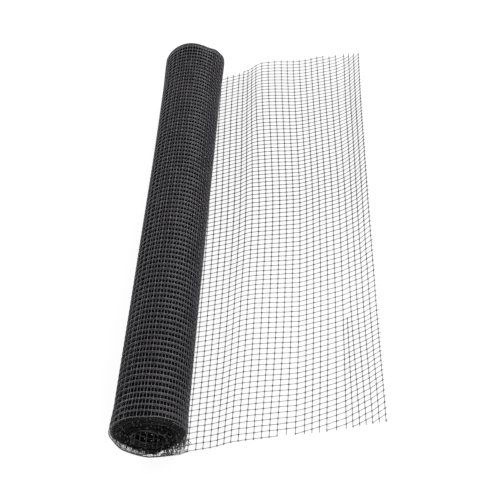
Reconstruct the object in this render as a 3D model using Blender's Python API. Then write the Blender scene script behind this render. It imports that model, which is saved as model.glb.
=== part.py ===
"""A roll of cat fence netting, lying on its side with one loose end drawn out.

The net is one piece, so it is one closed body: the wound turns around an open
middle, the innermost end curling free inside it, the outermost turn standing a
little proud at the near end, and the loose end lying out to the right as a thin
wavy sheet. Metres, +Z up. The roll lies along Y and the loose end runs to +X.
"""
import math

import bmesh
import bpy

# The net itself
NET_WIDTH = 0.990
NET_THICKNESS = 0.002

# The wound roll, which is slightly fatter at its far end
ROLL_RADIUS = 0.0658
ROLL_TAPER = 0.0011
MIDDLE_RADIUS = 0.0300
SETTLE = 0.0006
# The open middle hangs a little below the roll's own middle
MIDDLE_DROP = 0.0060
ROUGHNESS = 0.0005
FLARE = 0.0024
FLARE_NEAR = 0.05
FLARE_FAR = 0.12
# The left side stands out a little more at the two ends of the roll
SWELL = (0.0018, 0.0036)
SWELL_NEAR = 0.35
SWELL_FAR = 0.40

# Groups of turns that stand out or back at the ends, from the middle outwards:
# outer radius as a share of the wall, shift at the near end, shift at the far end
TURN_GROUPS = (
    (0.30, -0.0054, -0.0170),
    (0.62, -0.0035, -0.0150),
    (0.93, 0.0000, -0.0130),
)
# Cut edges of the outermost turn, round the roll from the bottom by the left:
# angle in degrees, shift at the near end, shift at the far end
OUTER_EDGE = (
    (0.0, -0.0055, 0.0010),
    (90.0, -0.0030, -0.0150),
    (180.0, 0.0000, -0.0150),
    (222.0, 0.0035, -0.0200),
    (250.0, 0.0055, -0.0090),
    (276.0, 0.0070, 0.0055),
    (344.0, 0.0080, 0.0030),
)
STEP_WIDTH = 0.0006

# The free edge of the loose end: station along the roll, reach along X
TAIL_REACH = (
    (0.00, 0.3950),
    (0.30, 0.3905),
    (0.50, 0.3870),
    (0.75, 0.3818),
    (1.00, 0.3850),
)
# Its cut edges bow: place along X, shift at the near end, shift at the far end
TAIL_EDGES = (
    (0.000, -0.0055, 0.0010),
    (0.060, -0.0025, 0.0085),
    (0.155, 0.0025, 0.0170),
    (0.235, 0.0105, 0.0190),
    (0.280, 0.0112, 0.0222),
    (0.330, 0.0132, 0.0120),
    (0.390, 0.0148, 0.0010),
)

# A long ridge in the loose end: place along X and height, near end and far end
RIDGE_X = (0.138, 0.152)
RIDGE_HEIGHT = (0.0085, 0.0165)
RIDGE_RISE = 0.048
RIDGE_FALL = 0.120
# The free edge curls up a little
CURL_START = 0.300
CURL_END = 0.388
CURL_HEIGHT = (0.0110, 0.0030)
# Shallow ripples across the ridge
RIPPLE_HEIGHT = 0.0011
RIPPLES = 3.5

# The innermost end of the net, loose inside the middle
INNER_END_ANGLE = math.radians(150.0)
INNER_END_SWEEP = math.radians(215.0)
INNER_END_LIFT = 0.0012
INNER_END_GAP = 0.0085

# Mesh steps
AROUND = 48
ALONG = 22
TAIL_STEPS = 30
INNER_STEPS = 12
ROOT_ANGLE = math.radians(344.0)
TAIL_START = 0.024
SLOPE_STEP = 0.001

NET_COLOR = (0.020, 0.020, 0.022, 1.0)
NET_ROUGHNESS = 0.42


def smooth(x):
    """Ease from 0 to 1 as x goes from 0 to 1."""
    x = min(max(x, 0.0), 1.0)
    return x * x * (3.0 - 2.0 * x)


def mix(pair, t):
    return pair[0] + (pair[1] - pair[0]) * t


def between(table, place):
    """Values of a table at a place, eased between its rows."""
    for low, high in zip(table, table[1:]):
        if place <= high[0]:
            break
    share = smooth((place - low[0]) / (high[0] - low[0]))
    return [mix(pair, share) for pair in zip(low[1:], high[1:])]


def flare(angle, t):
    """How much wider the loose outer turns are at the two ends of the roll."""
    near, far = smooth(1.0 - t / FLARE_NEAR), smooth(1.0 - (1.0 - t) / FLARE_FAR)
    left = max(math.sin(angle), 0.0) ** 2
    near_swell = SWELL[0] * smooth(1.0 - t / SWELL_NEAR)
    far_swell = SWELL[1] * smooth(1.0 - (1.0 - t) / SWELL_FAR)
    return FLARE * (near + far) + left * (near_swell + far_swell)


def outer_radius(angle, t):
    """Radius of the wound roll, with the soft dents of a net wound by hand."""
    dents = math.sin(3.0 * angle + 4.0 * t) + 0.7 * math.sin(5.0 * angle - 7.0 * t)
    straight = ROLL_RADIUS + ROLL_TAPER * (2.0 * t - 1.0)
    return straight + 0.5 * ROUGHNESS * dents + flare(angle, t)


def centre_height(t):
    return ROLL_RADIUS + ROLL_TAPER * (2.0 * t - 1.0) - SETTLE


def round_point(radius, angle, t, inward=0.0):
    """A point at an angle that starts at the bottom and goes round by the left.

    inward is its share of the way from the roll's outside to the open middle.
    """
    x = -radius * math.sin(angle)
    z = centre_height(t) - inward * MIDDLE_DROP - radius * math.cos(angle)
    return x, max(z, 0.0)


def group_shift(group, t):
    """Shift along the roll of a group of inner turns at a station t."""
    return mix(TURN_GROUPS[group][1:], t)


def outer_shift(angle, t):
    """Shift along the roll of the outermost turn at an angle round the roll."""
    return mix(between(OUTER_EDGE, math.degrees(angle)), t)


def tail_height(x, t):
    """Height of the loose end's underside above the floor."""
    peak = mix(RIDGE_X, t)
    width = RIDGE_RISE if x < peak else RIDGE_FALL
    ridge = mix(RIDGE_HEIGHT, smooth(t)) * smooth(1.0 - abs(x - peak) / width)
    curl = mix(CURL_HEIGHT, t) * smooth((x - CURL_START) / (CURL_END - CURL_START))
    ripple = 1.0 + math.sin(2.0 * math.pi * RIPPLES * t + 9.0 * x)
    fade = smooth((x - 0.06) / 0.08)
    return ridge + curl + RIPPLE_HEIGHT * ripple * fade


def tail_reach(t):
    return between(TAIL_REACH, t)[0]


def tail_across(x, t):
    """Place along the roll of a station t on the loose end."""
    return t * NET_WIDTH + mix(between(TAIL_EDGES, max(x, 0.0)), t)


def middle_radius(t):
    return MIDDLE_RADIUS + 0.5 * ROLL_TAPER * (2.0 * t - 1.0)


def angles():
    return [ROOT_ANGLE * i / (AROUND - 1) for i in range(AROUND)]


def outer_ring(t):
    ring = []
    for angle in angles():
        x, z = round_point(outer_radius(angle, t), angle, t)
        ring.append((x, t * NET_WIDTH + outer_shift(angle, t), z))
    return ring


def middle_ring(t):
    ring = []
    for angle in angles():
        x, z = round_point(middle_radius(t), angle, t, 1.0)
        ring.append((x, t * NET_WIDTH + group_shift(0, t), z))
    return ring


def end_rings(t):
    """Rings of one end face, from the middle outwards, stepped between groups of turns."""
    rings = []
    for group, (share, _, _) in enumerate(TURN_GROUPS):
        for nudge, level in ((-STEP_WIDTH, group), (STEP_WIDTH, group + 1)):
            ring = []
            for angle in angles():
                inner, outer = middle_radius(t), outer_radius(angle, t)
                radius = inner + share * (outer - inner) + nudge
                x, z = round_point(radius, angle, t, 1.0 - share)
                outermost = level == len(TURN_GROUPS)
                shift = outer_shift(angle, t) if outermost else group_shift(level, t)
                ring.append((x, t * NET_WIDTH + shift, z))
            rings.append(ring)
    return rings


def sheet_pair(x, y, z, slope):
    """Underside and top of a thin sheet whose underside passes through x, z."""
    tilt = math.atan(slope)
    top = (x - NET_THICKNESS * math.sin(tilt), y, z + NET_THICKNESS * math.cos(tilt))
    return (x, y, z), top


def tail_strip(t):
    """Pairs of points along the loose end, from beside the roll to its free edge."""
    pairs = []
    for k in range(TAIL_STEPS):
        x = TAIL_START + (tail_reach(t) - TAIL_START) * k / (TAIL_STEPS - 1)
        rise = tail_height(x + SLOPE_STEP, t) - tail_height(x - SLOPE_STEP, t)
        slope = rise / (2.0 * SLOPE_STEP)
        pairs.append(sheet_pair(x, tail_across(x, t), tail_height(x, t), slope))
    return pairs


def inner_strip(t, first):
    """Pairs of points along the innermost end, curling away from the wall."""
    y = t * NET_WIDTH + group_shift(0, t)
    pairs = []
    for k in range(1, INNER_STEPS + 1):
        share = k / INNER_STEPS
        angle = first + INNER_END_SWEEP * share
        away = INNER_END_LIFT * smooth(4.0 * share) + INNER_END_GAP * share ** 1.5
        outside = middle_radius(t) - away
        near_wall = round_point(outside, angle, t, 1.0)
        inside = round_point(outside - NET_THICKNESS, angle, t, 1.0)
        pairs.append(((inside[0], y, inside[1]), (near_wall[0], y, near_wall[1])))
    return pairs


def add_ring(mesh, points):
    return [mesh.verts.new(p) for p in points]


def skin(mesh, first, second, closed=False):
    """Faces between two rows of points with the same count."""
    count = len(first)
    for i in range(count if closed else count - 1):
        j = (i + 1) % count
        mesh.faces.new((first[i], first[j], second[j], second[i]))


def build_net_mesh():
    mesh = bmesh.new()
    stations = [j / ALONG for j in range(ALONG + 1)]
    outer = [add_ring(mesh, outer_ring(t)) for t in stations]
    middle = [add_ring(mesh, middle_ring(t)) for t in stations]

    root = round(INNER_END_ANGLE / ROOT_ANGLE * (AROUND - 1))
    inside, wallside, under, top = [], [], [], []
    for j, t in enumerate(stations):
        curl = inner_strip(t, angles()[root + 1])
        inside.append([middle[j][root]] + add_ring(mesh, [p for p, _ in curl]))
        wallside.append([middle[j][root + 1]] + add_ring(mesh, [q for _, q in curl]))
        tail = tail_strip(t)
        under.append([outer[j][0]] + add_ring(mesh, [p for p, _ in tail]))
        top.append([outer[j][-1]] + add_ring(mesh, [q for _, q in tail]))

    for j in range(ALONG):
        skin(mesh, outer[j], outer[j + 1])
        skin(mesh, middle[j + 1][:root + 1], middle[j][:root + 1])
        skin(mesh, middle[j + 1][root + 1:], middle[j][root + 1:])
        last, first = middle[j][-1], middle[j][0]
        mesh.faces.new((middle[j + 1][-1], middle[j + 1][0], first, last))
        skin(mesh, inside[j + 1], inside[j])
        skin(mesh, wallside[j], wallside[j + 1])
        mesh.faces.new((inside[j + 1][-1], wallside[j + 1][-1], wallside[j][-1], inside[j][-1]))
        skin(mesh, under[j + 1], under[j])
        skin(mesh, top[j], top[j + 1])
        mesh.faces.new((under[j + 1][-1], top[j + 1][-1], top[j][-1], under[j][-1]))

    for j, t in ((0, 0.0), (ALONG, 1.0)):
        rings = [middle[j]] + [add_ring(mesh, ring) for ring in end_rings(t)] + [outer[j]]
        for low, high in zip(rings, rings[1:]):
            skin(mesh, low, high, closed=True)
        skin(mesh, inside[j], wallside[j])
        skin(mesh, under[j], top[j])
    bmesh.ops.recalc_face_normals(mesh, faces=mesh.faces)
    return mesh


def net_material():
    material = bpy.data.materials.new("black_net_plastic")
    material.use_nodes = True
    shader = material.node_tree.nodes["Principled BSDF"]
    shader.inputs["Base Color"].default_value = NET_COLOR
    shader.inputs["Roughness"].default_value = NET_ROUGHNESS
    shader.inputs["Metallic"].default_value = 0.0
    return material


def centre_on_base(mesh):
    """Put the origin under the middle of the whole thing, on the floor."""
    xs = [v.co.x for v in mesh.verts]
    ys = [v.co.y for v in mesh.verts]
    shift = (-(min(xs) + max(xs)) / 2.0, -(min(ys) + max(ys)) / 2.0, 0.0)
    bmesh.ops.translate(mesh, verts=mesh.verts, vec=shift)


def clear_scene():
    for old in list(bpy.data.objects):
        bpy.data.objects.remove(old, do_unlink=True)


def main():
    clear_scene()
    group = bpy.data.collections.new("netting_roll")
    bpy.context.scene.collection.children.link(group)
    mesh = build_net_mesh()
    centre_on_base(mesh)
    data = bpy.data.meshes.new("netting")
    mesh.to_mesh(data)
    mesh.free()
    data.shade_smooth()
    data.set_sharp_from_angle(angle=math.radians(35.0))
    data.materials.append(net_material())
    net = bpy.data.objects.new("netting", data)
    group.objects.link(net)


main()
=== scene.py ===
"""Looks of the roll of cat fence netting: every strand of the net is a real tube.

The bars run along the roll, the rows cross them, and a fused bead marks each crossing
on the loose end and on the outer turns. Lengths are in metres. Y runs along the roll
from its near end to its far end, and the loose end runs to +X. How far the net is wound
up at a place, called turned, is an angle in radians: from the bottom round by the left,
counted on from the roll's outside inwards. A share of the net's width is called t.
"""
import math
import random

import bpy
import numpy as np
from mathutils import Matrix, Vector


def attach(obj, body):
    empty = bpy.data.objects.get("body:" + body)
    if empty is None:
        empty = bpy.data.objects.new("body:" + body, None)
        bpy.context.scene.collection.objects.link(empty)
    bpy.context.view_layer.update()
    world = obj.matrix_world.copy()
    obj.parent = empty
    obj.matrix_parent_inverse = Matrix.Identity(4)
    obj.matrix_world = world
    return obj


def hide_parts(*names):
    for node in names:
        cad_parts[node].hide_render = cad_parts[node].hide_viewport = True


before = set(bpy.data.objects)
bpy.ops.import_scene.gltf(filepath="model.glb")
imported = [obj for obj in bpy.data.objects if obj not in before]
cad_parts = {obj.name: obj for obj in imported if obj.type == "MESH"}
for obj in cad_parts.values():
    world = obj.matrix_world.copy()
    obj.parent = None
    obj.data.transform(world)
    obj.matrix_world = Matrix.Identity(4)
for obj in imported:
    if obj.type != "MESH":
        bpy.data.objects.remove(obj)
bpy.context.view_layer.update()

LAP = 2.0 * math.pi
QUARTER_LAP = LAP / 4.0
MILLIMETRE = 0.001

# The wound roll, with the values of the solid. Pairs are for the near and the far end
NET_WIDTH = 0.990
MIDWAY = 0.5
ROLL_RADIUS = 0.0658
ROLL_TAPER = 0.0011
MIDDLE_RADIUS = 0.0300
SETTLE = 0.0006
MIDDLE_DROP = 0.0060
ROUGHNESS = 0.0005
# Dents in the roll: share of the roughness, waves round it, and their turn along it
DENTS = (
    (1.0, 3.0, 4.0),
    (0.7, 5.0, -7.0),
)
# Both ends flare, and the sides swell towards them, over shares of the width
FLARE = 0.0024
FLARE_NEAR = 0.05
FLARE_FAR = 0.12
SWELL = (0.0018, 0.0036)
RIGHT_SWELL = 0.0014
SWELL_NEAR = 0.35
SWELL_FAR = 0.40

# The loose end: its ridge, the curl of its free edge and its ripples
RIDGE_X = (0.138, 0.152)
RIDGE_HEIGHT = (0.0085, 0.0165)
RIDGE_RISE = 0.048
RIDGE_FALL = 0.120
CURL_START = 0.300
CURL_END = 0.388
CURL_HEIGHT = (0.0110, 0.0030)
RIPPLE_HEIGHT = 0.0011
RIPPLES = 3.5
RIPPLE_SLANT = 9.0
RIPPLE_START = 0.06
RIPPLE_RISE = 0.08

# Cut edges of the outermost turn: angle, shift at the near end, shift at the far end
OUTER_EDGE = (
    (0.0, -0.0094, 0.0010),
    (60.0, -0.0068, -0.0108),
    (90.0, -0.0013, -0.0140),
    (180.0, 0.0000, -0.0120),
    (222.0, 0.0035, -0.0165),
    (250.0, 0.0055, -0.0050),
    (276.0, 0.0070, 0.0062),
    (300.0, 0.0125, 0.0048),
    (344.0, 0.0125, 0.0030),
    (360.0, 0.0075, 0.0010),
)
# Cut edges of the inner turns: share of the winding, near end, far end
INNER_EDGE = (
    (0.000, 0.0075, 0.0010),
    (0.014, 0.0050, -0.0110),
    (0.060, 0.0035, -0.0120),
    (0.150, 0.0010, -0.0100),
    (0.400, -0.0015, -0.0080),
    (0.600, -0.0035, -0.0085),
    (0.780, -0.0050, -0.0090),
    (1.000, -0.0054, -0.0110),
)
# Cut edges of the loose end: place along X, near end, far end
TAIL_EDGES = (
    (0.000, -0.0094, 0.0010),
    (0.030, -0.0086, 0.0047),
    (0.060, -0.0026, 0.0095),
    (0.110, 0.0001, 0.0175),
    (0.155, 0.0025, 0.0170),
    (0.235, 0.0105, 0.0190),
    (0.280, 0.0112, 0.0222),
    (0.330, 0.0132, 0.0120),
    (0.400, 0.0148, 0.0010),
)
# Waves of the inner turns' cut edges: height, rate and start. They are full from a
# share of the winding inwards
EDGE_WAVES = (
    (0.0011, 2.3, 0.7),
    (0.0008, 5.1, 0.0),
)
EDGE_WAVES_FULL = 0.3
# At the far end the outer turns stand out by a share of their depth in the wall, and
# down to a depth this goes over to the table. Depth is taken near that end
DEPTH_STATION = 0.98
DEPTH_REACH = 0.85
STEPPED_DEPTH = 0.016
# At the near end the inner turns stay behind the rim, down to a depth
REST_BEHIND = 0.0010
REST_DEPTH = 0.0200
# How far the wall stands out at its lower part, the angle in the middle of that, half
# the angle that it takes up and its soft part, and where it fades in the winding
LOWER_REACH = 0.0045
LOWER_MIDDLE = 334.0
LOWER_HALF = 90.0
LOWER_SOFT = 50.0
LOWER_FADE_START = 0.1
LOWER_FADE = 0.5
# The lower left, in degrees, and for how many turns. There the next turns' cut edge
# lies behind the rim, by this much for each turn
LOWER_LEFT_START = 8.0
LOWER_LEFT_RISE = 25.0
LOWER_LEFT_END = 112.0
LOWER_LEFT_FALL = 30.0
LOWER_LEFT_LAPS = 3.0
LOOSE_BEHIND = 0.0012

# The net's pitch, and its rows on the roll. The rows next to a cut edge follow it on
# the outermost turn, and those at the far end are pulled within limits
ROW_PITCH = 0.011364
BAR_PITCH = 0.0120
ROLL_FIRST_ROW = 0.0040
LAST_ROW = 86
SPARE_ROWS = 4
PINNED_ROWS = 7
PINNED_LAPS = 0.95
EDGE_ROW_INSET = 0.0009
FAR_PULL = (-0.008, 0.004)

# Half thicknesses of the strands, and sides of their tubes
BAR_HALF = 0.00066
ROW_HALF = 0.00050
ROW_ROOT_HALF = 0.00068
WOUND_BAR_HALF = 0.00055
WOUND_ROW_HALF = 0.00072
EDGE_ROW_HALF = 0.00080
DEEP_HALF = 0.00120
BAR_SIDES = 6
ROW_SIDES = 5
WOUND_SIDES = 4
DEEP_SIDES = 3
# The wound bars look thinner at the near end: their share there, and how far that goes
NEAR_BAR_SHARE = 0.72
NEAR_BAR_SPAN = 0.45
# The rim's row at the near end gets thinner from one angle on, over some degrees
RIM_HALF = (0.00095, 0.00070)
RIM_THIN_START = 85.0
RIM_THIN_SPAN = 50.0
# Rows along the cut edges, and thin ones at the lower left of the outer turns
EDGE_INSETS = (0.0006, 0.0036, 0.0066, 0.0096)
THIN_ROW_HALF = 0.00038
THIN_ROW_INSETS = (0.0022, 0.0044, 0.0066)
THIN_ROWS_END = math.radians(108.0)
THIN_ROW_TURNS = 3
# Thickness of the loose end's strands along the roll, as a share
THICKNESS_STATIONS = (0.0, 0.3, 0.55, 0.8, 1.0)
THICKNESS = (0.88, 0.96, 1.24, 1.26, 1.08)

# Beads, with the least distance from a strand's end
BEAD_HALF = 0.00140
BEAD_HALF_HEIGHT = 0.00090
BEAD_REACH = 0.0024
BEAD_ROOM = 0.0002
# Stations of a bead: place as a share of its reach, and whether it is full there
FINE_BEAD = ((-1.0, False), (-0.38, True), (0.38, True), (1.0, False))
COARSE_BEAD = ((-1.0, False), (0.0, True), (1.0, False))
FINE_BEAD_TURNS = 2
# Least distance of a row on the roll from a bar's end for a bead to be there
ROW_ROOM = 0.0005
# How deep the strands' middle lies under the solid's surface
SKIN_DEPTH = 0.0010

# The winding: how many turns, and how the wall's depth is shared among them, the
# outer turns lying tighter on each other than the inner ones
TURNS = 18
TIGHTNESS = 1.157
# The outer turns, which catch light. The deeper ones have plain bars with few stations
LIT_TURNS = 4
DEEP_STATIONS = np.linspace(0.05, 0.94, 8)
# Length of the rows' steps round the roll, as a share of the bars' pitch
LIT_ROW_STEP = 0.58
DEEP_ROW_STEP = 0.75
# The side that faces the camera
FACING = math.radians(203.7)

# The bars of the outer turns, midway between those of the turn around them but for the
# left side, and shifted at the lower left, which the camera doesn't see. The angles are
# degrees from the facing side round to the left
STAGGER = 0.5
STAGGER_START = 68.0
STAGGER_RISE = 34.0
HIDDEN_STAGGER = 0.29
HIDDEN_START = 100.0
HIDDEN_RISE = 20.0
BAR_JITTER = 0.06
# Limits of the shift that brings deeper bars into the same columns, and the least angle
# at which a turn's first bar stands
MOST_SINE = 0.985
MOST_ALIGNED = 0.2
FIRST_BAR = 0.03

# How far a deeper layer seems shifted along the roll, for each metre of its depth,
# at the middle of the roll, and how much more of it at each metre towards the far end
SLIP = 0.85
SLIP_RISE = 0.75
NEAR_SHARE = 0.45
# Where the wall is seen aslant the layers seem further apart, up to this many times,
# and round past a quarter lap that fades
MOST_SLANT = 2.6
SLANT_FADE = math.radians(50.0)
# The near part of the left side, where the rows of the turns don't line up, in degrees
# from the facing side and by its length
LEFT_START = 60.0
LEFT_RISE = 30.0
LOOSE_LENGTH = 0.45
# Small slips of the rows along the winding: height, rate and start
ROW_WAVES = (
    (0.0004, 0.037, 0.0),
    (0.0002, 1.13, 1.0),
)
DEEP_DRIFT = 0.006
DEEP_DRIFT_RATE = 0.41

# Cut bars of the inner turns that hang out at the near end: their share, how many turns
# have them, and how far behind the rim they end at the lower left
FRINGE_SHARE = 0.85
FRINGE_TURNS = 8
FRINGE_GAP = (0.0008, 0.0040)
DEEP_FRINGE_GAP = (0.0020, 0.0080)
# How far they reach out on the right, and from what angle on
FRINGE_REACH = (0.0020, 0.0130)
FRINGE_RIGHT_START = 285.0
FRINGE_RIGHT_RISE = 20.0
# Up to this place along the roll the bars have at least this half width
FRINGE_DEPTH = 0.0060
FRINGE_HALF = 0.00055
# Cut ends that catch light among the deeper turns
LIT_END_SHARE = 0.38
LIT_END_LENGTH = (0.0010, 0.0030)
# Torn strands where the loose end leaves the roll: angles, steps, and their number
TORN_ANGLES = (296.0, 356.0)
TORN_INSET = 0.0010
TORN_STEP = 0.0052
TORN_STEPS = 5
TORN_COUNT = 3
# Least and most of a torn strand's step in X, Y and Z, as shares of its length
TORN_WAYS = ((-0.7, 0.6), (-1.0, -0.2), (-0.6, 0.3))
# Past this place a torn strand is held back to a share of its way
TORN_LIMIT = -0.0070
TORN_BEYOND = 0.2
# A direction that no torn strand runs in, from which its sides are worked out
TORN_UP = (0.1, 0.2, 1.0)

# Innermost end of the net: where it starts and how far it goes round, how it leaves
# the wall and curls inwards, its shifts at the two ends, its rows and its bars
INNER_START = math.radians(150.0)
INNER_SWEEP = math.radians(215.0)
INNER_STEPS = 26
INNER_AWAY = 0.0012
INNER_AWAY_RATE = 4.0
INNER_CURL = 0.0085
INNER_CURL_POWER = 1.5
INNER_NEAR = -0.0054
INNER_FAR = -0.0170
INNER_ROWS = 86
INNER_BAR_EVERY = 4

# How far the rim's rows run on along the loose end's near edge, and their insets
RIM_RUN = 0.050
RIM_RUN_STEPS = 9
RIM_RUN_INSETS = (0.00095, 0.0032, 0.0056)

# The loose end's bars, counted from under the roll. One of them ends early
TAIL_BARS = 30
SHORT_BAR = 24
SHORT_BAR_END = 0.24
SHORT_BAR_STUB = 0.002
# Its rows, counted along the roll with some to spare, and their least distance from
# the cut edges
TAIL_ROWS = np.arange(-14, 96)
TAIL_ROW_JITTER = 0.0004
TAIL_ROOM = 0.0006
# Stations of a short strand, as shares of its length
STRAND = np.array((0.0, 0.5, 1.0))
# Cut tips of the rows at the free edge: length and its spread, slope and droop
STUB = 0.0032
STUB_SPREAD = (0.6, 1.15)
STUB_SLOPE = 0.7
STUB_DROOP = np.array((0.0, -0.0001, -0.0003))
# Half the distance over which the loose end's slope is taken
SLOPE_HALF = 0.001

# Guides for some bars, in millimetres, at shares of the net's width from the near end
# to the far end. The bars between two guides are shared out evenly, and the corners at
# the stations are rounded off over a share of the width
ROUNDING = 0.05
# How far each guide bar lies from the roll's middle
BAR_STATIONS = (0.0, 0.25, 0.55, 0.85, 1.0)
BAR_GUIDES = {
    0: (6, 7, 2, -8, -11),
    4: (64, 64, 60, 48, 45),
    7: (103, 105, 103, 92, 90),
    11: (156, 161, 162, 144, 135),
    15: (209, 218, 219, 205, 198),
    18: (256, 260, 260, 248, 241),
    21: (294, 301, 300, 290, 284),
    23: (328, 329, 328, 319, 314),
    25: (352, 344, 341, 333, 330),
    26: (363, 356, 354, 350, 350),
    29: (396, 391, 387, 384, 385),
}
# How far the rows lie ahead of an even pitch there: the net lies skewed and uneven
ROW_STATIONS = (0.0, 0.2, 0.5, 0.62, 0.8, 1.0)
ROW_GUIDES = {
    0: (3, 4, 4, 4, 4, 4),
    4: (11, 6, 11, 13, 13, 13),
    7: (13, 10, 14, 18, 17, 18),
    11: (16, 16, 12, 12, 18, 17),
    17: (24, 13, 16, 14, 14, 13),
    21: (38, 21, 30, 24, 18, 17),
    25: (54, 29, 37, 31, 21, 19),
    27: (63, 33, 46, 46, 29, 32),
    29: (77, 43, 66, 67, 52, 54),
}

# Seeds of the random draws
TIP_SEED = 7
BAR_SEED = 11
FRINGE_SEED = 40
LIT_END_SEED = 3
TORN_SEED = 8

# Plastics: darkest and lightest colour, and specular level. Those of the inner turns are
# darker and duller copies of the outer plastic:
# painted shade that stands in for the shade deep in the wall, because light gets in between
# their strands where the real wall is dense
OUTER = "black_net_plastic"
INNER_PAINTED_SHADE = "black_net_plastic_inner_painted_shade"
MIDDLE_PAINTED_SHADE = "black_net_plastic_middle_painted_shade"
DEEP_PAINTED_SHADE = "black_net_plastic_deep_painted_shade"
PLASTICS = {
    OUTER: ((0.0161, 0.0147, 0.0179), (0.0383, 0.0348, 0.0420), 0.50),
    INNER_PAINTED_SHADE: ((0.0080, 0.0076, 0.0086), (0.0190, 0.0180, 0.0205), 0.28),
    MIDDLE_PAINTED_SHADE: ((0.0036, 0.0034, 0.0039), (0.0086, 0.0082, 0.0092), 0.12),
    DEEP_PAINTED_SHADE: ((0.0012, 0.0012, 0.0014), (0.0032, 0.0031, 0.0035), 0.05),
}
# Their mottling and its range, their roughness, and their grain and its relief
MOTTLE_SCALE = 38.0
MOTTLE_DETAIL = 3.0
MOTTLE_RANGE = (0.30, 0.72)
GLOSS_RANGE = (0.42, 0.58)
GRAIN_SCALE = 900.0
GRAIN_DETAIL = 2.0
GRAIN_STRENGTH = 0.25
GRAIN_HEIGHT = 0.0002

# Share of the net's area that its strands cover, and the wound net's pieces: name,
# first and last turn, plastic and that share. The deeper turns' plastics carry painted shade
COVER = 0.30
DEEP_COVER = 0.45
WOUND_PIECES = (
    ("net_turn_1", 0, 1, OUTER, COVER),
    ("net_turn_2", 1, 2, OUTER, COVER),
    ("net_turn_3", 2, 3, OUTER, COVER),
    ("net_turn_4", 3, 4, OUTER, COVER),
    ("net_turns_5_to_10", 4, 10, MIDDLE_PAINTED_SHADE, DEEP_COVER),
    ("net_turns_11_to_17", 10, TURNS - 1, DEEP_PAINTED_SHADE, DEEP_COVER),
    ("net_turn_18", TURNS - 1, TURNS, INNER_PAINTED_SHADE, DEEP_COVER),
)

# Camera, solved from the photo
CAMERA_PLACE = (0.37290, -1.15979, 1.28110)
CAMERA_RIGHT = (0.9649, 0.0426, -0.2590)
CAMERA_AHEAD = (-0.2270, 0.6307, -0.7420)
CAMERA_LENS = 61.2
CAMERA_SENSOR = 36.0

# Studio: a pale floor that glows, so no dark shadow stays on it, and a white sky
FLOOR_HALF = 6.0
FLOOR_HEIGHT = -0.0004
FLOOR_COLOUR = 0.10
FLOOR_GLOW = 0.87
SKY_STRENGTH = 0.62
# Softboxes: bearing from +Y towards +X, height in degrees, distance, width and power
SOFTBOXES = (
    ("softbox_right_back", 60.0, 25.0, 3.0, 1.5, 125.0),
    ("softbox_right_front", 150.0, 25.0, 3.0, 1.5, 75.0),
    ("softbox_left", 270.0, 25.0, 3.0, 1.8, 40.0),
    ("softbox_left_back", 298.0, 28.0, 1.6, 1.3, 17.0),
    ("softbox_back", 45.0, 50.0, 3.0, 1.5, 34.0),
)

# From the solid's working place, with the roll's middle at X = 0, to the frame
SHIFT = np.array((-0.16094202, -0.50324496, 0.0))


def ease(x):
    """A soft step from 0 to 1 while x goes from 0 to 1."""
    x = np.clip(x, 0.0, 1.0)
    return x * x * (3.0 - 2.0 * x)


def mix(pair, t):
    """The value at a share of the way between a pair of values."""
    return pair[0] + (pair[1] - pair[0]) * t


def waves(table, place):
    """Sum of waves, each with a height, a rate and a start."""
    return sum(height * np.sin(rate * place + start) for height, rate, start in table)


def between(table, place):
    """Near and far values of a table at one or many places, eased between its rows."""
    place = np.asarray(place, float)
    rows = np.array(table)
    low = np.clip(np.searchsorted(rows[:, 0], place, side="left") - 1, 0, len(rows) - 2)
    share = ease((place - rows[low, 0]) / (rows[low + 1, 0] - rows[low, 0]))
    near, far = (mix((rows[low, end], rows[low + 1, end]), share) for end in (1, 2))
    return near, far


def taper(t):
    """How much larger the roll's radius is than in the middle of its length."""
    return ROLL_TAPER * (2.0 * t - 1.0)


def outer_radius(angle, t):
    """Radius of the wound roll at an angle from the bottom round by the left."""
    dents = sum(share * np.sin(around * angle + along * t) for share, around, along in DENTS)
    near_flare = ease(1.0 - t / FLARE_NEAR)
    far_flare = ease(1.0 - (1.0 - t) / FLARE_FAR)
    near_swell = ease(1.0 - t / SWELL_NEAR)
    far_swell = ease(1.0 - (1.0 - t) / SWELL_FAR)
    left = np.maximum(np.sin(angle), 0.0) ** 2
    right = np.maximum(-np.sin(angle), 0.0) ** 2
    flare = FLARE * (near_flare + far_flare)
    flare = flare + left * (SWELL[0] * near_swell + SWELL[1] * far_swell)
    flare = flare + right * (RIGHT_SWELL * near_swell)
    return ROLL_RADIUS + taper(t) + 0.5 * ROUGHNESS * dents + flare


def centre_height(t):
    """Height of the roll's middle above the floor."""
    return ROLL_RADIUS + taper(t) - SETTLE


def middle_radius(t):
    """Radius of the open middle."""
    return MIDDLE_RADIUS + 0.5 * taper(t)


def tail_height(x, t):
    """Height of the loose end's underside above the floor."""
    peak = mix(RIDGE_X, t)
    width = np.where(x < peak, RIDGE_RISE, RIDGE_FALL)
    ridge = mix(RIDGE_HEIGHT, ease(t)) * ease(1.0 - np.abs(x - peak) / width)
    curl = mix(CURL_HEIGHT, t) * ease((x - CURL_START) / (CURL_END - CURL_START))
    ripple = 1.0 + np.sin(LAP * RIPPLES * t + RIPPLE_SLANT * x)
    fade = ease((x - RIPPLE_START) / RIPPLE_RISE)
    return ridge + curl + RIPPLE_HEIGHT * ripple * fade


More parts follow.
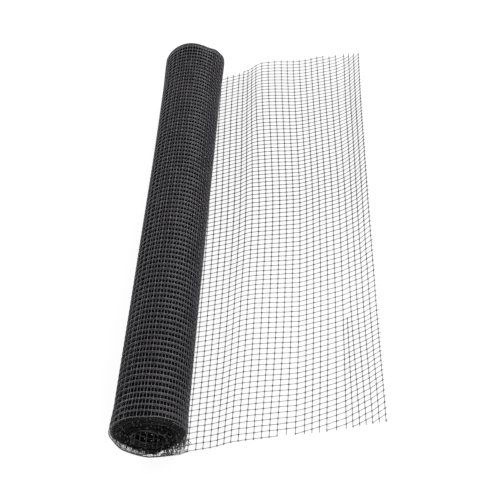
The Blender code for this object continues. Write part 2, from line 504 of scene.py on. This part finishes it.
class Strands:
    """Tubes gathered into one mesh."""

    def __init__(self):
        self.points = []
        self.quads = []
        self.caps = {}
        self.count = 0

    def add(self, path, up, across, high, sides):
        """Tubes along paths (strand, point, xyz), with half widths across and high."""
        path = np.asarray(path, float)
        if path.ndim == 2:
            path, up = path[None], np.asarray(up, float)[None]
        strands, steps = path.shape[:2]
        up = np.broadcast_to(up, path.shape)
        across = np.broadcast_to(across, (strands, steps))
        high = np.broadcast_to(high, (strands, steps))
        along = np.gradient(path, axis=1)
        along /= np.linalg.norm(along, axis=2, keepdims=True)
        side = np.cross(along, up)
        side /= np.linalg.norm(side, axis=2, keepdims=True)
        top = np.cross(side, along)
        turn = np.arange(sides) * LAP / sides + QUARTER_LAP
        ring = (
            path[:, :, None]
            + side[:, :, None] * (across[:, :, None] * np.cos(turn))[..., None]
            + top[:, :, None] * (high[:, :, None] * np.sin(turn))[..., None]
        )
        self.points.append(ring.reshape(-1, 3))
        first = self.count + np.arange(strands * steps).reshape(strands, steps) * sides
        corner = np.arange(sides)
        after = (corner + 1) % sides
        here, further = first[:, :-1, None], first[:, 1:, None]
        corners = (here + corner, here + after, further + after, further + corner)
        self.quads.append(np.stack(corners, axis=-1).reshape(-1, 4))
        start, end = first[:, 0, None] + corner[::-1], first[:, -1, None] + corner
        self.caps.setdefault(sides, []).append(np.concatenate((start, end)))
        self.count += strands * steps * sides

    def build(self, name):
        """The tubes as an object with a mesh."""
        mesh = bpy.data.meshes.new(name)
        points = np.concatenate(self.points) + SHIFT
        mesh.vertices.add(len(points))
        mesh.vertices.foreach_set("co", points.ravel())
        groups = [np.concatenate(self.quads)]
        groups += [np.concatenate(ends) for ends in self.caps.values()]
        loops = np.concatenate([faces.ravel() for faces in groups])
        sizes = np.concatenate([np.full(len(faces), faces.shape[1]) for faces in groups])
        mesh.loops.add(len(loops))
        mesh.loops.foreach_set("vertex_index", loops)
        mesh.polygons.add(len(sizes))
        mesh.polygons.foreach_set("loop_start", np.cumsum(sizes) - sizes)
        mesh.update(calc_edges=True)
        mesh.shade_smooth()
        made = bpy.data.objects.new(name, mesh)
        bpy.context.scene.collection.objects.link(made)
        print(name, int((sizes - 2).sum()), "triangles")
        return made


def wind_depth(turned):
    """Share of the way from the roll's outside to its open middle."""
    return (turned / (LAP * TURNS)) ** TIGHTNESS


def wind_radius(turned, t):
    """Distance of the wound net from the roll's middle, after so much winding."""
    outer = outer_radius(np.mod(turned, LAP), t) - SKIN_DEPTH
    inner = middle_radius(t) + SKIN_DEPTH
    return mix((outer, inner), wind_depth(turned))


def wind_point(turned, y):
    """A point of the wound net, and the direction away from the roll's middle."""
    turned, y = np.broadcast_arrays(np.asarray(turned, float), np.asarray(y, float))
    t = np.clip(y / NET_WIDTH, 0.0, 1.0)
    radius = wind_radius(turned, t)
    x = -radius * np.sin(turned)
    z = centre_height(t) - MIDDLE_DROP * wind_depth(turned) - radius * np.cos(turned)
    z = np.maximum(z, SKIN_DEPTH)
    out = np.stack((-np.sin(turned), np.zeros_like(x), -np.cos(turned)), axis=-1)
    return np.stack((x, y, z), axis=-1), out


def wind_edges(turned):
    """Where the net is cut at the near and the far end, after so much winding."""
    turned = np.asarray(turned, float)
    later = turned > LAP
    angle = np.degrees(np.where(later, np.mod(turned, LAP), turned))
    first_near, first_far = between(OUTER_EDGE, angle)
    share = np.maximum(turned - LAP, 0.0) / (LAP * (TURNS - 1))
    later_near, later_far = between(INNER_EDGE, share)
    wave = waves(EDGE_WAVES, turned) * ease(share / EDGE_WAVES_FULL)
    # The next turns stand out a little more each, which closes the far end's rim
    depth = wind_radius(0.0, DEPTH_STATION) - wind_radius(turned, DEPTH_STATION)
    stepped = first_far + DEPTH_REACH * depth
    later_far = mix((stepped, later_far), ease(depth / STEPPED_DEPTH))
    # At the near end they stay behind its rim where that draws back
    behind = np.maximum(first_near + REST_BEHIND - later_near, 0.0)
    later_near = later_near + behind * (1.0 - ease(depth / REST_DEPTH))
    # Towards the bottom the outer half of the wall stands out further
    aside = np.abs(np.mod(angle - LOWER_MIDDLE + 180.0, 360.0) - 180.0)
    lower = ease((LOWER_HALF - aside) / LOWER_SOFT)
    lower = lower * (1.0 - ease((share - LOWER_FADE_START) / LOWER_FADE))
    later_near = later_near - LOWER_REACH * lower
    # At the lower left the next turns follow the rim closely
    lower_left = ease((angle - LOWER_LEFT_START) / LOWER_LEFT_RISE)
    lower_left = lower_left * ease((LOWER_LEFT_END - angle) / LOWER_LEFT_FALL)
    laps = turned / LAP
    lower_left = lower_left * (1.0 - ease(laps - LOWER_LEFT_LAPS))
    later_near = mix((later_near, first_near + LOOSE_BEHIND * laps), lower_left)
    near = np.where(later, later_near + wave, first_near)
    far = np.where(later, later_far + wave, first_far)
    return near, far + NET_WIDTH


def row_drift(turned, y):
    """How far the rows slip along the roll, after so much winding.

    The slip keeps the rows of the outer turns under one another, as in the photo, also
    at the two ends and where the wall is seen aslant.
    """
    away = np.mod(turned, LAP) - FACING
    aside = np.abs(away)
    facing = np.maximum(np.cos(np.minimum(aside, QUARTER_LAP)), 1.0 / MOST_SLANT)
    slant = (1.0 / facing - 1.0) * (1.0 - ease((aside - QUARTER_LAP) / SLANT_FADE))
    left = 1.0 - ease((np.degrees(away) + LEFT_START) / LEFT_RISE)
    slant = slant * (1.0 - left * (1.0 - ease(y / LOOSE_LENGTH)))
    lit = np.minimum(turned, LAP * LIT_TURNS)
    depth = wind_radius(0.0, MIDWAY) - wind_radius(lit, MIDWAY)
    beyond = y - MIDWAY * NET_WIDTH
    rise = SLIP_RISE * np.where(beyond > 0.0, beyond, NEAR_SHARE * beyond)
    shift = (SLIP + rise) * (1.0 + slant) - SLIP
    deep = ease(turned / LAP - LIT_TURNS) * DEEP_DRIFT * np.sin(DEEP_DRIFT_RATE * turned)
    return waves(ROW_WAVES, turned) + shift * depth + deep


def rows_at(turned):
    """Rows of the wound net: their places along the roll at given windings.

    The net was cut along a row at the near end, so the end rows follow the cut edges
    and their neighbours ease back to the even pitch. The first row here is a spare one.
    """
    count = np.arange(-1, LAST_ROW + SPARE_ROWS)[:, None]
    even = ROLL_FIRST_ROW + count * ROW_PITCH
    rows = even + row_drift(turned[None], even)
    near, far = wind_edges(turned)
    outermost = 1.0 - ease(turned / LAP - PINNED_LAPS)
    pull = (near + EDGE_ROW_INSET - rows[1]) * outermost
    rows = rows + pull * (1.0 - ease(count / PINNED_ROWS))
    pull = np.clip(far - EDGE_ROW_INSET - rows[LAST_ROW + 1], *FAR_PULL) * outermost
    return rows + pull * (1.0 - ease((LAST_ROW - count) / PINNED_ROWS))


def winding_places(first, last, spacing):
    """Amounts of winding from first to last that lie spacing apart along the net."""
    places = [first]
    while places[-1] < last:
        radius = float(wind_radius(places[-1], MIDWAY))
        places.append(places[-1] + spacing / radius)
    return np.array((*places[:-1], last))


def bar_places(turn):
    """Windings at which the bars of one turn stand.

    Each turn is about half a bar's pitch shorter than the one around it, so its bars
    stand midway between that one's, but for the left side, where they line up.
    """
    start = turn * LAP
    outermost = float(wind_radius(FACING, MIDWAY))
    ratio = float(wind_radius(start + FACING, MIDWAY)) / outermost
    pitch = BAR_PITCH / outermost
    slip = random.Random(BAR_SEED + turn)
    count = np.arange(-int(FACING / pitch), int((LAP - FACING) / pitch) + 1)
    away = count * pitch
    if turn < LIT_TURNS:
        midway = ease((np.degrees(away) + STAGGER_START) / STAGGER_RISE)
        hidden = ease((-HIDDEN_START - np.degrees(away)) / HIDDEN_RISE)
        stagger = STAGGER * (turn % 2) * midway + HIDDEN_STAGGER * turn * hidden
        away = away + (stagger + slip.uniform(-BAR_JITTER, BAR_JITTER)) * pitch
        # A deeper turn's bars shift so that the camera sees them in the same columns
        sine = np.minimum(np.abs(np.sin(away)) / ratio, MOST_SINE)
        aligned = np.arcsin(sine) - np.abs(away)
        away = away + np.sign(away) * np.clip(aligned, 0.0, MOST_ALIGNED)
    else:
        away = away / ratio + slip.uniform(0.0, 1.0) * pitch
    places = start + FACING + away
    return places[(places > start + FIRST_BAR) & (places < start + LAP)]


def bead_profile(ys, start, end, bar_half, bead_steps):
    """Stations along a bar with a fused bead at each row."""
    path, wide, tall = [start], [bar_half], [bar_half]
    for y in ys:
        for nudge, full in bead_steps:
            place = y + nudge * BEAD_REACH
            if start + BEAD_ROOM < place < end - BEAD_ROOM:
                path.append(place)
                wide.append(BEAD_HALF if full else bar_half)
                tall.append(BEAD_HALF_HEIGHT if full else bar_half)
    path.append(end)
    wide.append(bar_half)
    tall.append(bar_half)
    return np.array(path), np.array(wide), np.array(tall)


def guided(guides, stations, bar, t):
    """Value for a bar at a share of the width, from the guides on both sides of it."""
    places = sorted(guides)
    upper = next(i for i in range(1, len(places)) if places[i] >= bar)
    low, high = places[upper - 1], places[upper]
    pair = [np.interp(t, stations, guides[place]) * MILLIMETRE for place in (low, high)]
    return mix(pair, (bar - low) / (high - low))


def smooth_guided(guides, stations, bar, t):
    """The same, with the corners at the stations rounded off."""
    t = np.asarray(t, float)
    near = guided(guides, stations, bar, t - ROUNDING)
    far = guided(guides, stations, bar, t + ROUNDING)
    return 0.5 * guided(guides, stations, bar, t) + 0.25 * (near + far)


def row_offset(bar, t):
    """How far the rows stand along the roll at a bar of the loose end."""
    return smooth_guided(ROW_GUIDES, ROW_STATIONS, bar, t)


def bar_x(bar, y):
    """How far a bar of the loose end lies from the roll's middle."""
    return smooth_guided(BAR_GUIDES, BAR_STATIONS, bar, np.asarray(y) / NET_WIDTH)


def tail_point(x, y):
    """A point of the loose net at x and y, and which way is up from it."""
    t = np.clip(y / NET_WIDTH, 0.0, 1.0)
    rise = tail_height(x + SLOPE_HALF, t) - tail_height(x - SLOPE_HALF, t)
    rise = rise / (2.0 * SLOPE_HALF)
    z = tail_height(x, t) + SKIN_DEPTH
    up = np.stack((-rise, np.zeros_like(rise), np.ones_like(rise)), axis=-1)
    return np.stack((x, y, z), axis=-1), up / np.linalg.norm(up, axis=-1, keepdims=True)


def tail_nodes():
    """Crossings of the loose end's bars with its rows: x, y and whether net is there."""
    nodes = []
    for bar in range(TAIL_BARS):
        wobble = random.Random(bar)
        y = TAIL_ROWS * ROW_PITCH
        y = y + row_offset(bar, np.clip(y / NET_WIDTH, 0.0, 1.0))
        y = y + [wobble.uniform(-TAIL_ROW_JITTER, TAIL_ROW_JITTER) for _ in TAIL_ROWS]
        x = bar_x(bar, y)
        near, far = between(TAIL_EDGES, np.maximum(x, 0.0))
        inside = (y > near + TAIL_ROOM) & (y < far + NET_WIDTH - TAIL_ROOM)
        if bar == SHORT_BAR:
            inside = inside & (y < SHORT_BAR_END)
        nodes.append((x, y, inside))
    return tuple(np.array(part) for part in zip(*nodes))


def add_tail_bars(net, y, inside):
    """Bars of the loose end, with their beads."""
    for bar in range(TAIL_BARS):
        rows = y[bar, inside[bar]]
        start, _ = between(TAIL_EDGES, max(float(bar_x(bar, 0.0)), 0.0))
        _, far = between(TAIL_EDGES, max(float(bar_x(bar, NET_WIDTH)), 0.0))
        end = float(far) + NET_WIDTH
        if bar == SHORT_BAR:
            end = float(rows[-1]) + SHORT_BAR_STUB
        places, wide, tall = bead_profile(rows, float(start), end, BAR_HALF, FINE_BEAD)
        path, up = tail_point(bar_x(bar, places), places)
        swell = np.interp(places / NET_WIDTH, THICKNESS_STATIONS, THICKNESS)
        net.add(path, up, wide * swell, tall * swell, BAR_SIDES)


def add_tail_rows(net, x, y, inside):
    """Rows of the loose end from bar to bar, and on to those of the outermost turn."""
    strands = []
    for k in range(len(TAIL_ROWS)):
        bars = [bar for bar in range(TAIL_BARS) if bar != SHORT_BAR or inside[bar, k]]
        for pair in zip(bars, bars[1:]):
            if inside[pair, k].all():
                strands.append(tail_point(mix(x[pair, k], STRAND), mix(y[pair, k], STRAND)))
    wound = rows_at(np.array([0.0]))[:, 0]
    for k in np.flatnonzero(inside[0]):
        joined = wound[np.argmin(np.abs(wound - y[0, k]))]
        xs = np.linspace(0.0, x[0, k], len(STRAND))
        ys = np.linspace(joined, y[0, k], len(STRAND))
        strands.append(tail_point(xs, ys))
    paths, ups = (np.array(part) for part in zip(*strands))
    swell = np.interp(paths[:, :, 1] / NET_WIDTH, THICKNESS_STATIONS, THICKNESS)
    half = np.array((ROW_ROOT_HALF, ROW_HALF, ROW_ROOT_HALF)) * swell
    net.add(paths, ups, half, half, ROW_SIDES)


def add_rim_run(net):
    """The rim's rows, which run on along the loose end's near edge and get thinner."""
    xs = np.linspace(0.0, RIM_RUN, RIM_RUN_STEPS)
    near, _ = between(TAIL_EDGES, xs)
    half = mix((RIM_HALF[0], ROW_HALF), ease(xs / RIM_RUN))
    for inset in RIM_RUN_INSETS:
        path, up = tail_point(xs, near + inset)
        net.add(path, up, half, half, ROW_SIDES)


def add_tail_tips(net, x, y, inside):
    """Cut tips of the rows at the free edge."""
    tips = random.Random(TIP_SEED)
    paths, ups = [], []
    for k in np.flatnonzero(inside[-1]):
        reach = STUB * tips.uniform(*STUB_SPREAD)
        slope = (y[-1, k] - y[-2, k]) / (x[-1, k] - x[-2, k])
        xs = x[-1, k] + reach * STRAND
        path, up = tail_point(xs, y[-1, k] + (xs - x[-1, k]) * slope * STUB_SLOPE)
        path[:, 2] += STUB_DROOP
        paths.append(path)
        ups.append(up)
    half = np.array((ROW_ROOT_HALF, ROW_HALF, ROW_HALF))
    net.add(np.array(paths), np.array(ups), half, half, ROW_SIDES)


def build_tail():
    """The loose end of the net."""
    net = Strands()
    x, y, inside = tail_nodes()
    add_tail_bars(net, y, inside)
    add_tail_rows(net, x, y, inside)
    add_rim_run(net)
    add_tail_tips(net, x, y, inside)
    return net.build("net_loose_end")


def fringe_start(turned, near, gap, reach):
    """Near end of a bar of an inner turn that hangs out, towards the rim or past it."""
    angle = math.degrees(turned) % 360.0
    rim, _ = between(OUTER_EDGE, angle)
    left = float(ease((LOWER_LEFT_END - angle) / LOWER_LEFT_FALL))
    right = float(ease((angle - FRINGE_RIGHT_START) / FRINGE_RIGHT_RISE))
    return mix((near, min(float(rim) + gap, near)), left) - reach * right


def add_lit_bars(net, bars, first_turn, fringe):
    """Bars with beads. Those inside the outermost turn are cut unevenly."""
    bead_steps = FINE_BEAD if first_turn < FINE_BEAD_TURNS else COARSE_BEAD
    for turned in bars:
        near, far = (float(edge) for edge in wind_edges(turned))
        rows = rows_at(np.array([turned]))[:, 0]
        rows = rows[(rows > near + ROW_ROOM) & (rows < far - ROW_ROOM)]
        if first_turn > 0 and fringe.random() < FRINGE_SHARE:
            gap = fringe.uniform(*FRINGE_GAP)
            near = fringe_start(turned, near, gap, fringe.uniform(*FRINGE_REACH))
        places, wide, tall = bead_profile(rows, near, far, WOUND_BAR_HALF, bead_steps)
        thinner = mix((NEAR_BAR_SHARE, 1.0), ease(places / NEAR_BAR_SPAN))
        wide, tall = wide * thinner, tall * thinner
        wide = np.where(places < FRINGE_DEPTH, np.maximum(wide, FRINGE_HALF), wide)
        path, out = wind_point(turned, places)
        net.add(path, out, wide, tall, WOUND_SIDES)


def add_deep_bars(net, bars, fringe):
    """Plain bars of the deeper turns."""
    for turned in bars:
        near, far = (float(edge) for edge in wind_edges(turned))
        if fringe.random() < FRINGE_SHARE and turned < LAP * FRINGE_TURNS:
            near = fringe_start(turned, near, fringe.uniform(*DEEP_FRINGE_GAP), 0.0)
        path, out = wind_point(turned, np.array((near, *DEEP_STATIONS, far)))
        net.add(path, out, DEEP_HALF, DEEP_HALF, DEEP_SIDES)


def add_wound_rows(net, places, half, sides):
    """Rows round the roll at given windings, left out where the net is cut away."""
    y = rows_at(places)
    near, far = wind_edges(places)
    inside = (y > near) & (y < far)
    for row, there in zip(y, inside):
        changes = np.flatnonzero(np.diff(there)) + 1
        for run in np.split(np.arange(len(places)), changes):
            if there[run[0]] and len(run) > 1:
                path, out = wind_point(places[run], row[run])
                net.add(path, out, half, half, sides)


def add_edge_rows(net, places, first_turn, sides):
    """Rows along the cut edges, and thin ones at the lower left of the outer turns."""
    near, far = wind_edges(places)
    edges = [(far - inset, EDGE_ROW_HALF) for inset in EDGE_INSETS]
    if first_turn == 0:
        rim = mix(RIM_HALF, ease((np.degrees(places) - RIM_THIN_START) / RIM_THIN_SPAN))
        edges = [(near + rim, rim), (far - EDGE_ROW_HALF, EDGE_ROW_HALF)]
    if first_turn >= LIT_TURNS:
        edges += [(near + inset, EDGE_ROW_HALF) for inset in EDGE_INSETS]
    for edge, half in edges:
        path, out = wind_point(places, edge)
        net.add(path, out, half, half, sides)
    if first_turn < THIN_ROW_TURNS:
        lower_left = places < first_turn * LAP + THIN_ROWS_END
        for inset in (THIN_ROW_HALF, *THIN_ROW_INSETS):
            path, out = wind_point(places[lower_left], (near + inset)[lower_left])
            net.add(path, out, THIN_ROW_HALF, THIN_ROW_HALF, sides)


def build_wound(name, first_turn, last_turn):
    """Rows and bars of some turns of the roll, finer on the turns that catch light."""
    net = Strands()
    fringe = random.Random(FRINGE_SEED + first_turn)
    bars = np.concatenate([bar_places(turn) for turn in range(first_turn, last_turn)])
    if first_turn < LIT_TURNS:
        step, half, sides = LIT_ROW_STEP, WOUND_ROW_HALF, WOUND_SIDES
        add_lit_bars(net, bars, first_turn, fringe)
    else:
        step, half, sides = DEEP_ROW_STEP, DEEP_HALF, DEEP_SIDES
        add_deep_bars(net, bars, fringe)
    places = winding_places(first_turn * LAP, last_turn * LAP, BAR_PITCH * step)
    add_wound_rows(net, places, half, sides)
    add_edge_rows(net, places, first_turn, sides)
    return net.build(name)


def build_inner_end():
    """The innermost end of the net, loose inside the middle of the roll."""
    net = Strands()
    share = np.linspace(0.0, 1.0, INNER_STEPS)
    angle = INNER_START + INNER_SWEEP * share
    away = INNER_AWAY * ease(INNER_AWAY_RATE * share) + INNER_CURL * share ** INNER_CURL_POWER

    def place(k, y):
        """Points at steps k round the curl and places y along the roll, and outwards."""
        t = np.clip(y / NET_WIDTH, 0.0, 1.0)
        radius = middle_radius(t) - SKIN_DEPTH - away[k]
        out = np.stack((-np.sin(angle[k]), np.zeros_like(y), -np.cos(angle[k])), axis=-1)
        x = -radius * np.sin(angle[k])
        z = centre_height(t) - MIDDLE_DROP - radius * np.cos(angle[k])
        return np.stack((x, y, z), axis=-1), out

    near, far = INNER_NEAR, NET_WIDTH + INNER_FAR
    for y in (near + EDGE_ROW_HALF, *(np.arange(INNER_ROWS) * ROW_PITCH)):
        path, out = place(np.arange(INNER_STEPS), np.full(INNER_STEPS, y))
        net.add(path, out, ROW_HALF, ROW_HALF, WOUND_SIDES)
    places = np.array((near, *DEEP_STATIONS, far))
    for k in range(0, INNER_STEPS, INNER_BAR_EVERY):
        path, out = place(np.full(len(places), k), places)
        net.add(path, out, BAR_HALF, BAR_HALF, WOUND_SIDES)
    return net.build("net_inner_end")


def build_lit_ends():
    """Cut ends of some inner turns' bars, which catch the light at the near end. Their plastic
    carries less painted shade than the deeper turns around them.
    """
    net = Strands()
    luck = random.Random(LIT_END_SEED)
    for turn in range(LIT_TURNS, TURNS):
        for turned in bar_places(turn):
            near = float(wind_edges(turned)[0])
            if luck.random() < LIT_END_SHARE:
                places = near + luck.uniform(*LIT_END_LENGTH) * np.array((-1.0, 1.0))
                path, out = wind_point(turned, places)
                net.add(path, out, DEEP_HALF, DEEP_HALF, WOUND_SIDES)
    return net.build("net_cut_ends")


def torn_path(turned, luck):
    """Points of a torn strand from a bar's near end, held back and above the floor."""
    start, _ = wind_point(turned, float(wind_edges(turned)[0]) + TORN_INSET)
    path = [start]
    for _ in range(TORN_STEPS):
        step = np.array([luck.uniform(*way) for way in TORN_WAYS])
        path.append(path[-1] + TORN_STEP * step)
    path = np.array(path)
    held = TORN_LIMIT + TORN_BEYOND * (path[:, 1] - TORN_LIMIT)
    path[:, 1] = np.maximum(path[:, 1], held)
    path[:, 2] = np.maximum(path[:, 2], SKIN_DEPTH)
    return path


def build_torn_strands():
    """Torn ends of the outer turns that hang over the loose end beside the roll."""
    net = Strands()
    luck = random.Random(TORN_SEED)
    low, high = (math.radians(angle) for angle in TORN_ANGLES)
    for turn in range(LIT_TURNS):
        for turned in bar_places(turn):
            if low < turned - turn * LAP < high:
                for _ in range(TORN_COUNT):
                    path = torn_path(turned, luck)
                    up = np.broadcast_to(TORN_UP, path.shape)
                    net.add(path, up, ROW_HALF, ROW_HALF, WOUND_SIDES)
    return net.build("net_torn_strands")


def net_material(name, dark, light, specular):
    """Black extruded plastic: near black, semi-gloss, mottled, finely grained."""
    material = bpy.data.materials.new(name)
    material.use_nodes = True
    nodes, links = material.node_tree.nodes, material.node_tree.links
    shader = nodes["Principled BSDF"]
    shader.inputs["Specular IOR Level"].default_value = specular
    where = nodes.new("ShaderNodeTexCoord")

    mottle = nodes.new("ShaderNodeTexNoise")
    mottle.inputs["Scale"].default_value = MOTTLE_SCALE
    mottle.inputs["Detail"].default_value = MOTTLE_DETAIL
    links.new(where.outputs["Object"], mottle.inputs["Vector"])
    tone = nodes.new("ShaderNodeValToRGB")
    for stop, position, colour in zip(tone.color_ramp.elements, MOTTLE_RANGE, (dark, light)):
        stop.position = position
        stop.color = (*colour, 1.0)
    links.new(mottle.outputs["Fac"], tone.inputs["Fac"])
    links.new(tone.outputs["Color"], shader.inputs["Base Color"])
    gloss = nodes.new("ShaderNodeMapRange")
    gloss.inputs["To Min"].default_value = GLOSS_RANGE[0]
    gloss.inputs["To Max"].default_value = GLOSS_RANGE[1]
    links.new(mottle.outputs["Fac"], gloss.inputs["Value"])
    links.new(gloss.outputs["Result"], shader.inputs["Roughness"])

    grain = nodes.new("ShaderNodeTexNoise")
    grain.inputs["Scale"].default_value = GRAIN_SCALE
    grain.inputs["Detail"].default_value = GRAIN_DETAIL
    links.new(where.outputs["Object"], grain.inputs["Vector"])
    bump = nodes.new("ShaderNodeBump")
    bump.inputs["Strength"].default_value = GRAIN_STRENGTH
    bump.inputs["Distance"].default_value = GRAIN_HEIGHT
    links.new(grain.outputs["Fac"], bump.inputs["Height"])
    links.new(bump.outputs["Normal"], shader.inputs["Normal"])
    return material


def floor_material():
    """A matt pale floor that glows white."""
    material = bpy.data.materials.new("pale_floor")
    material.use_nodes = True
    shader = material.node_tree.nodes["Principled BSDF"]
    shader.inputs["Base Color"].default_value = (FLOOR_COLOUR, FLOOR_COLOUR, FLOOR_COLOUR, 1.0)
    shader.inputs["Roughness"].default_value = 1.0
    shader.inputs["Specular IOR Level"].default_value = 0.0
    shader.inputs["Emission Color"].default_value = (1.0, 1.0, 1.0, 1.0)
    shader.inputs["Emission Strength"].default_value = FLOOR_GLOW
    return material


def add_floor():
    """The floor, which isn't part of the object."""
    mesh = bpy.data.meshes.new("floor")
    ways = ((-1, -1), (1, -1), (1, 1), (-1, 1))
    corners = [(x * FLOOR_HALF, y * FLOOR_HALF, FLOOR_HEIGHT) for x, y in ways]
    mesh.from_pydata(corners, [], [(0, 1, 2, 3)])
    mesh.materials.append(floor_material())
    floor = bpy.data.objects.new("floor", mesh)
    bpy.context.scene.collection.objects.link(floor)


def add_sky():
    """A plain white sky."""
    world = bpy.data.worlds.new("studio")
    world.use_nodes = True
    sky = world.node_tree.nodes["Background"]
    sky.inputs["Color"].default_value = (1.0, 1.0, 1.0, 1.0)
    sky.inputs["Strength"].default_value = SKY_STRENGTH
    bpy.context.scene.world = world


def add_softbox(name, bearing, height, distance, size, power):
    """A round softbox aimed at the roll, bearing in degrees from +Y towards +X."""
    data = bpy.data.lights.new(name, "AREA")
    data.shape = "DISK"
    data.size = size
    data.energy = power
    light = bpy.data.objects.new(name, data)
    turn, tilt = math.radians(bearing), math.radians(height)
    flat = distance * math.cos(tilt)
    rise = distance * math.sin(tilt)
    place = Vector((math.sin(turn) * flat, math.cos(turn) * flat, rise))
    light.location = place
    light.rotation_euler = (-place).to_track_quat("-Z", "Y").to_euler()
    bpy.context.scene.collection.objects.link(light)


def add_camera():
    """The camera at the photo's place, looking the photo's way."""
    data = bpy.data.cameras.new("camera")
    data.sensor_width = CAMERA_SENSOR
    data.lens = CAMERA_LENS
    camera = bpy.data.objects.new("camera", data)
    ahead = Vector(CAMERA_AHEAD).normalized()
    right = Vector(CAMERA_RIGHT)
    right = (right - ahead * right.dot(ahead)).normalized()
    turn = Matrix((right, right.cross(ahead), -ahead)).transposed()
    camera.matrix_world = Matrix.Translation(CAMERA_PLACE) @ turn.to_4x4()
    bpy.context.scene.collection.objects.link(camera)
    bpy.context.scene.camera = camera


def build_studio():
    """Floor, sky, softboxes and camera."""
    add_floor()
    add_sky()
    for softbox in SOFTBOXES:
        add_softbox(*softbox)
    add_camera()
    bpy.context.scene.view_settings.view_transform = "Standard"
    # Denoising would smear the strands, which are thinner than a pixel
    bpy.context.scene.cycles.use_denoising = False


def dress(piece, material):
    """Give a piece of the net its plastic, hang it on the root body and hide the solid's
    netting.
    """
    piece.data.materials.append(material)
    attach(piece, "root")
    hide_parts("netting")


build_studio()
plastics = {name: net_material(name, *look) for name, look in PLASTICS.items()}
loose_end = build_tail()
wound = [build_wound(name, first, last) for name, first, last, _, _ in WOUND_PIECES]
inner_end = build_inner_end()
cut_ends = build_lit_ends()
torn_strands = build_torn_strands()

dress(loose_end, plastics[OUTER])
# The deeper turns get darker, duller plastics: painted shade
for piece, (_, _, _, plastic, _) in zip(wound, WOUND_PIECES):
    dress(piece, plastics[plastic])
# The inner end gets the darkest plastic: painted shade
dress(inner_end, plastics[DEEP_PAINTED_SHADE])
# The cut ends get the lightest of the darkened plastics: painted shade, less dark than that of
# the deeper turns
dress(cut_ends, plastics[INNER_PAINTED_SHADE])
dress(torn_strands, plastics[OUTER])
